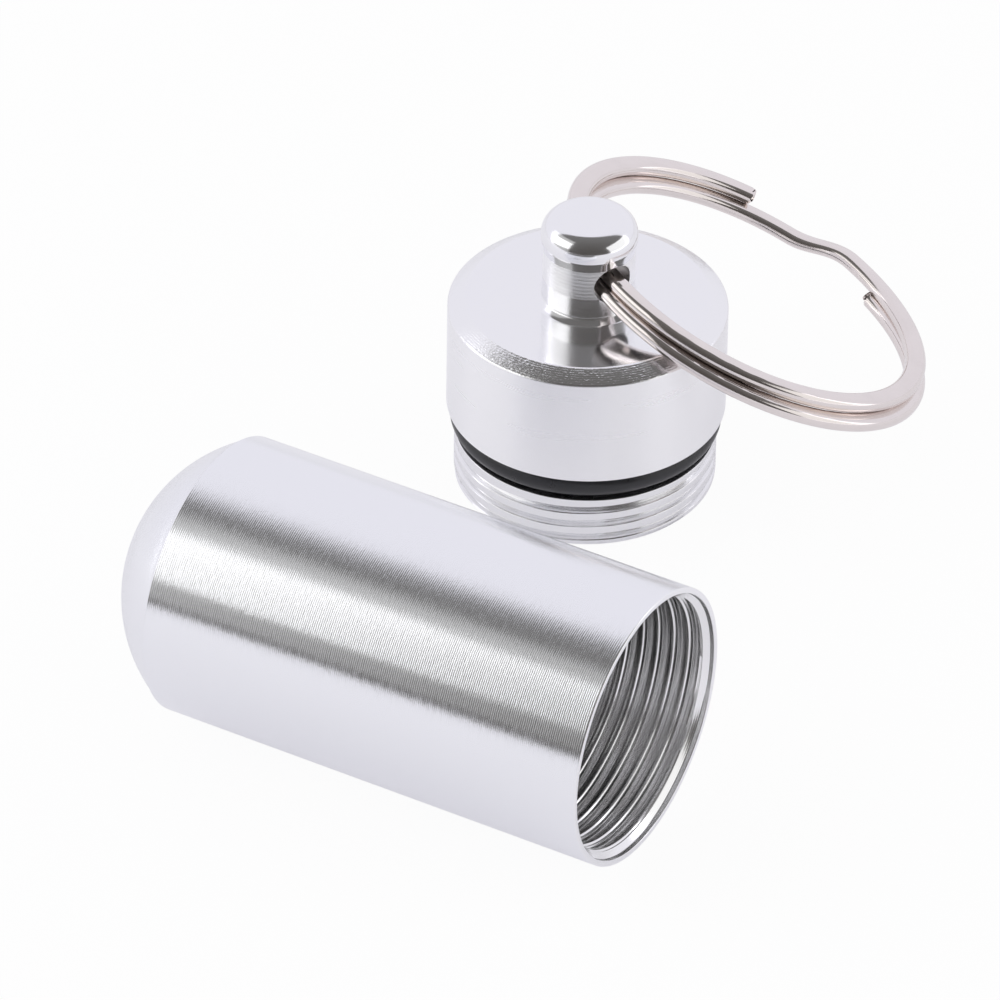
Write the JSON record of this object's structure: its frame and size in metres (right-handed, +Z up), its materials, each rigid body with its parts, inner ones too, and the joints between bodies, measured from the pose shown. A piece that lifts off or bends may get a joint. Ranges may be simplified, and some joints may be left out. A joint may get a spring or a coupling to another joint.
{
  "type": "pill fob keychain",
  "caption": "Small turned metal pill holder: a round-ended barrel with a threaded mouth, a screw cap with a rubber seal ring, and a split key ring through the cap's knob.",
  "frame": {"origin": "middle of the footprint of barrel, cap and key ring together, on the surface that they stand on", "axes": "+X along the barrel's axis, out of its mouth; +Y from the barrel towards the cap standing beside it; +Z up"},
  "size_m": [0.034, 0.059, 0.0189],
  "materials": {
    "turned_aluminium": "fine turned grooves, satin",
    "polished_aluminium": "polished",
    "black_rubber": "smooth, slightly glossy",
    "nickel_steel": "bright nickel plate"
  },
  "bodies": {
    "barrel": {"barrel": "turned_aluminium"},
    "cap": {"cap": "polished_aluminium", "seal_ring": "black_rubber"},
    "ring": {"key_ring": "nickel_steel"}
  },
  "joints": [
    {"name": "cap_lift", "type": "slide", "parent": "barrel", "child": "cap", "axis": [0, 0, 1], "range_m": [0, 0.04]},
    {"name": "ring_swing", "type": "hinge", "parent": "cap", "child": "ring", "pos_m": [-0.00395, 0.00912, 0.01555], "axis": [0.8926, -0.4509, 0], "range_deg": [0, 209]}
  ]
}
